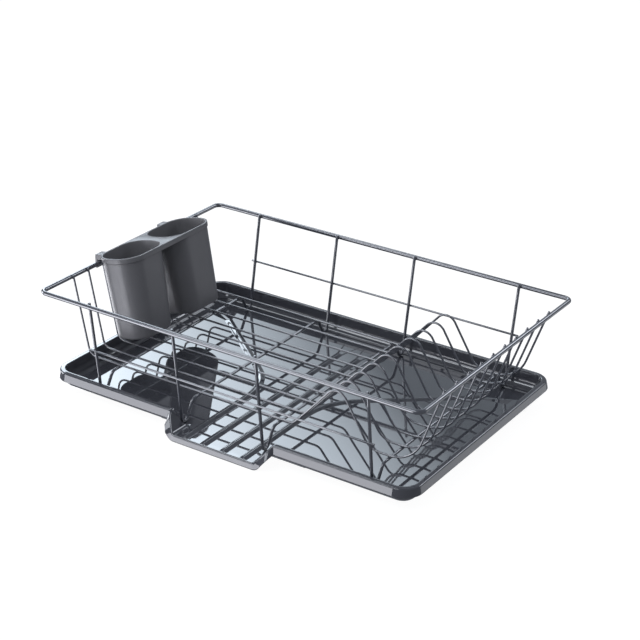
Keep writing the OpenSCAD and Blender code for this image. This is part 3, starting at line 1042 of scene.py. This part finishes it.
def tray_material():
    """Polished dark blue-grey plastic, with faint swirl marks and a slight moulding ripple."""
    material, tree, shader = new_material("gloss_tray_plastic")
    vary(tree, shader, "Base Color", (8,), (0.072, 0.074, 0.086), (0.08, 0.082, 0.094))
    vary(tree, shader, "Roughness", (220, 6, 0.7), 0.025, 0.06, (0.4, 0.75))
    shader.inputs["IOR"].default_value = 1.5
    shader.inputs["Coat Weight"].default_value = 1.0
    shader.inputs["Coat Roughness"].default_value = 0.02
    shader.inputs["Coat IOR"].default_value = 1.6
    bump(tree, shader, [(noise(tree, 14, 1), 0.06)], 0.0006)
    return material


def holder_material():
    """Matte warm-grey plastic with a fine moulded grain."""
    material, tree, shader = new_material("matte_holder_plastic")
    vary(tree, shader, "Base Color", (25,), (0.195, 0.191, 0.197), (0.215, 0.21, 0.217))
    vary(tree, shader, "Roughness", (700, 2), 0.28, 0.36)
    shader.inputs["Specular IOR Level"].default_value = 0.5
    bump(tree, shader, [(noise(tree, 2600, 2), 0.16), (noise(tree, 30, 2), 0.04)], 0.0003)
    return material


# ---- Studio, in metres ----

FLOOR_SIZE = 9
FLOOR_DROP = 0.0002     # how far the paper lies below the tray's feet
DOME_R = 8
PANEL_YAW = 0.575
PANEL_DISTANCE = 1.6
PANEL_SIZE = (1.5, 0.82)
PANEL_CENTRE = (-0.17, 0.74)    # sideways and up
PANEL_COLOUR = (0.8, 0.9, 1.0, 1)
PANEL_LEVEL = 2.45              # glow at its centre
PANEL_FADE = (-7.0, 6.5)        # how much the glow grows per metre, sideways and up
PANEL_LIMITS = (0.4, 4.8)
CAMERA_YAW = 0.574992
CAMERA_PITCH = 0.439701
CAMERA_ROLL = 0.0219114
CAMERA_FROM_RACK = Vector((0.96589, -1.46207, 0.7949))      # from the rim's middle
LENS = 97.8
SENSOR = 36.0
VIEW_DEPTH = 50


def paper_material():
    """Plain white paper, mostly self-lit so that shadows on it stay faint."""
    material, _, shader = new_material("studio_paper")
    shader.inputs["Base Color"].default_value = (0.15, 0.15, 0.15, 1)
    shader.inputs["Roughness"].default_value = 0.9
    shader.inputs["Specular IOR Level"].default_value = 0.0
    shader.inputs["Emission Color"].default_value = (1, 1, 1, 1)
    shader.inputs["Emission Strength"].default_value = 0.96
    return material


def stage_mesh(name, bm, material):
    """A part of the studio, which is not part of the object."""
    mesh = bpy.data.meshes.new(name)
    bm.to_mesh(mesh)
    bm.free()
    mesh.materials.append(material)
    stage = bpy.data.objects.new(name, mesh)
    bpy.context.scene.collection.objects.link(stage)
    return stage


def build_backdrop():
    """Paper floor and dome. Only the camera sees them, so the lights alone shape the object."""
    paper = paper_material()
    floor = bmesh.new()
    drop = Matrix.Translation((0, 0, -FLOOR_DROP))
    bmesh.ops.create_grid(floor, x_segments=1, y_segments=1, size=FLOOR_SIZE, matrix=drop)
    dome = bmesh.new()
    bmesh.ops.create_icosphere(dome, subdivisions=3, radius=DOME_R)
    for backdrop in (stage_mesh("studio_floor", floor, paper), stage_mesh("studio_dome", dome, paper)):
        backdrop.visible_diffuse = False
        backdrop.visible_glossy = False
        backdrop.visible_shadow = backdrop.name == "studio_floor"


def panel_material():
    """A light panel's glow, which falls off towards its right end and its lower edge."""
    material = bpy.data.materials.new("studio_panel")
    material.use_nodes = True
    tree = material.node_tree
    tree.nodes.clear()
    coords = tree.nodes.new("ShaderNodeTexCoord")
    slope = tree.nodes.new("ShaderNodeVectorMath")
    slope.operation = "DOT_PRODUCT"
    slope.inputs[1].default_value = (*PANEL_FADE, 0)
    level = tree.nodes.new("ShaderNodeMath")
    level.operation = "ADD"
    level.inputs[1].default_value = PANEL_LEVEL
    limit = tree.nodes.new("ShaderNodeClamp")
    limit.inputs["Min"].default_value = PANEL_LIMITS[0]
    limit.inputs["Max"].default_value = PANEL_LIMITS[1]
    glow = tree.nodes.new("ShaderNodeEmission")
    glow.inputs["Color"].default_value = PANEL_COLOUR
    output = tree.nodes.new("ShaderNodeOutputMaterial")
    tree.links.new(coords.outputs["Object"], slope.inputs[0])
    tree.links.new(slope.outputs["Value"], level.inputs[0])
    tree.links.new(level.outputs["Value"], limit.inputs["Value"])
    tree.links.new(limit.outputs["Result"], glow.inputs["Strength"])
    tree.links.new(glow.outputs["Emission"], output.inputs["Surface"])
    return material


def pose_from_axes(x_axis, y_axis, z_axis, place):
    """A pose from the directions of an object's axes and its place."""
    pose = Matrix((x_axis, y_axis, z_axis)).transposed().to_4x4()
    pose.translation = place
    return pose


def build_panel():
    """The graded panel behind the rack, which the polished tray mirrors."""
    bm = bmesh.new()
    half_x = PANEL_SIZE[0] / 2
    half_y = PANEL_SIZE[1] / 2
    corners = ((-half_x, -half_y), (half_x, -half_y), (half_x, half_y), (-half_x, half_y))
    bm.faces.new([bm.verts.new((x, y, 0)) for x, y in corners])
    panel = stage_mesh("studio_panel", bm, panel_material())
    forward = Vector((-math.sin(PANEL_YAW), math.cos(PANEL_YAW), 0))
    side = Vector((math.cos(PANEL_YAW), math.sin(PANEL_YAW), 0))
    up = Vector((0, 0, 1))
    place = forward * PANEL_DISTANCE + side * PANEL_CENTRE[0] + up * PANEL_CENTRE[1]
    panel.matrix_world = pose_from_axes(side, up, -forward, place)
    panel.visible_camera = False


def area_light(name, place, target, size, radiance, colour):
    """A softbox that the camera does not see, aimed at a point."""
    light = bpy.data.lights.new(name, "AREA")
    light.shape = "RECTANGLE"
    light.size = size[0]
    light.size_y = size[1]
    light.energy = radiance * math.pi * size[0] * size[1]
    light.color = colour
    lamp = bpy.data.objects.new(name, light)
    lamp.location = place
    lamp.rotation_euler = (Vector(target) - Vector(place)).to_track_quat("-Z", "Y").to_euler()
    lamp.visible_camera = False
    bpy.context.scene.collection.objects.link(lamp)


def build_world():
    """Faint bluish light from all round."""
    world = bpy.data.worlds.new("studio")
    world.use_nodes = True
    background = world.node_tree.nodes["Background"]
    background.inputs["Color"].default_value = (0.84, 0.89, 1.0, 1)
    background.inputs["Strength"].default_value = 0.25
    bpy.context.scene.world = world


# Softboxes: name, place, target, size, radiance and colour
SOFTBOXES = (
    ("front_softbox", (-0.82, -1.34, -0.4), (0, -0.1, -0.4), (1.1, 1.4), 3.4, (0.92, 0.93, 1)),
    ("upper_softbox", (-0.45, -1.2, 1.6), (0, 0, 0.1), (1.5, 0.5), 4.0, (0.88, 0.93, 1)),
    ("left_softbox", (-1.7, -0.5, 0.3), (-0.2, 0, 0.1), (0.7, 0.9), 5.0, (0.92, 0.95, 1)),
    ("edge_softbox", (-0.93, -1.305, 1.2), (0, -0.165, 0.02), (0.5, 0.3), 3.4, (0.9, 0.93, 1)),
    ("low_softbox", (-1.58, 0.42, -0.76), (0, 0, 0), (1.3, 0.6), 2.6, (0.94, 0.95, 1)),
    ("right_fill", (1.15, 1.2, -0.4), (0.2, 0, 0.02), (1.0, 0.7), 0.65, (0.94, 0.96, 1)),
    ("overhead_softbox", (-1.15, 0.8, 1.9), (0, 0, 0.1), (1.0, 0.45), 3.4, (0.88, 0.93, 1)),
    ("back_softbox", (0.82, 1.44, 1.2), (0, 0, 0.05), (1.1, 0.4), 4.2, (0.86, 0.91, 1)))


def build_camera():
    """The photograph's viewpoint: in front and to the right, looking down about 25 degrees."""
    forward = Vector((-math.sin(CAMERA_YAW) * math.cos(CAMERA_PITCH),
                      math.cos(CAMERA_YAW) * math.cos(CAMERA_PITCH), -math.sin(CAMERA_PITCH)))
    level = Vector((math.cos(CAMERA_YAW), math.sin(CAMERA_YAW), 0))
    up = level.cross(forward)
    right = math.cos(CAMERA_ROLL) * level + math.sin(CAMERA_ROLL) * up
    top = -math.sin(CAMERA_ROLL) * level + math.cos(CAMERA_ROLL) * up
    data = bpy.data.cameras.new("camera")
    data.lens = LENS
    data.sensor_width = SENSOR
    data.clip_end = VIEW_DEPTH
    camera = bpy.data.objects.new("camera", data)
    camera.matrix_world = pose_from_axes(right, top, -forward, RACK * MM + CAMERA_FROM_RACK)
    bpy.context.scene.collection.objects.link(camera)
    bpy.context.scene.camera = camera


build_camera()
build_backdrop()
build_world()
build_panel()
for softbox in SOFTBOXES:
    area_light(*softbox)
bpy.context.scene.view_settings.view_transform = "Standard"

coating = wire_material()
build_rim(coating)
for cross_node in CROSS_NODES:
    build_cross_wire(cross_node, coating)
build_rail("front_rail", -1, FRONT_LEAN, coating)
build_rail("back_rail", 1, BACK_LEAN, coating)
for long_node in LONG_NODES:
    build_long_wire(long_node, coating)
build_tray(tray_material())
build_holder(holder_material())
